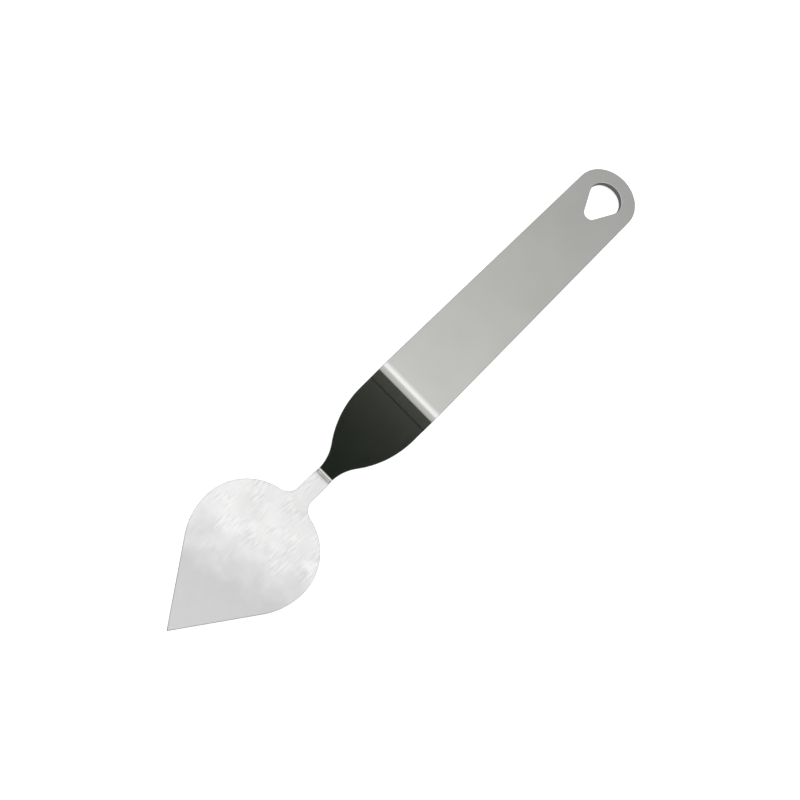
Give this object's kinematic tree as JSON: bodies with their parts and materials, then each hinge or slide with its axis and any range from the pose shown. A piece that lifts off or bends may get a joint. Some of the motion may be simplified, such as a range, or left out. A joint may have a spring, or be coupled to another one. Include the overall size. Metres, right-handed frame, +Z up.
{
  "type": "palette knife",
  "caption": "All-steel cranked palette knife: flat strip handle with a teardrop hanging hole, dropped crank, narrow neck and a spade-shaped spring leaf.",
  "frame": {"origin": "bottom centre of the knife as it lies on a table, resting on the heel of its crank and on its handle's end", "axes": "+X along the knife from the blade's tip toward the handle's end, +Z up from the table, knife symmetric about the XZ plane"},
  "size_m": [0.1874, 0.0356, 0.0144],
  "materials": {
    "strip_steel": "fine satin, grain along the handle",
    "spring_steel": "belt ground, fine scratches along the blade",
    "weld_metal": "as welded, hidden between the two sheets"
  },
  "bodies": {
    "root": {"handle_plate": "strip_steel", "blade": "spring_steel", "spot_welds": "weld_metal"}
  },
  "joints": []
}
